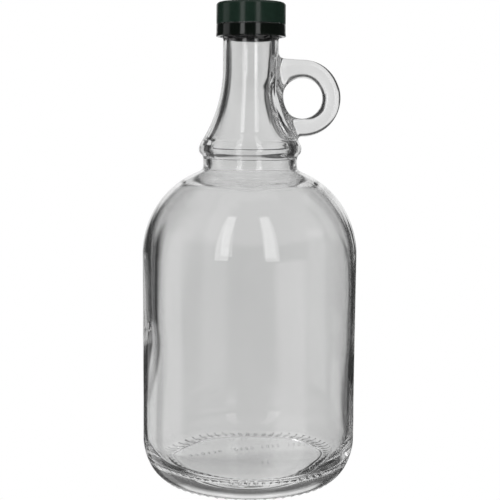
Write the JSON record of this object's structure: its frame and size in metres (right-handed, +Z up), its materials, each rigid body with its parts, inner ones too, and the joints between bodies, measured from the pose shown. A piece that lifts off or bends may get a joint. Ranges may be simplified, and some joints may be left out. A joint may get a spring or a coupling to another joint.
{
  "type": "glass carboy jug",
  "caption": "Small clear glass carboy jug with a thumb ring on its neck and a dark green screw cap over a tamper band.",
  "frame": {"origin": "centre of the base, on the surface that the jug stands on", "axes": "+Z up along the bottle's axis, +X towards the thumb ring, the picture is taken looking along +Y"},
  "size_m": [0.1052, 0.1052, 0.231],
  "materials": {
    "clear_glass": "clear moulded glass, fire polished",
    "cap_plastic": "dark green injection-moulded plastic, semi-gloss",
    "band_plastic": "dark green injection-moulded plastic, semi-gloss",
    "liner_foam": "matt white foamed polyethylene"
  },
  "bodies": {
    "bottle": {"glass_bottle": "clear_glass"},
    "liner": {"cap_liner": "liner_foam"},
    "cap": {"screw_cap": "cap_plastic"},
    "band": {"tamper_band": "band_plastic"}
  },
  "joints": [
    {"name": "cap_rise", "type": "slide", "parent": "bottle", "child": "liner", "axis": [0, 0, 1], "range_m": [0, 0.0064]},
    {"name": "cap_turn", "type": "hinge", "parent": "liner", "child": "cap", "pos_m": [0, 0, 0.2263], "axis": [0, 0, 1], "range_deg": [0, 720]},
    {"name": "band_turn", "type": "hinge", "parent": "bottle", "child": "band", "pos_m": [0, 0, 0.218], "axis": [0, 0, 1], "continuous": true}
  ],
  "couplings": [
    {"joint": "cap_rise", "follows": "cap_turn", "m_per_rad": 0.0005093}
  ]
}
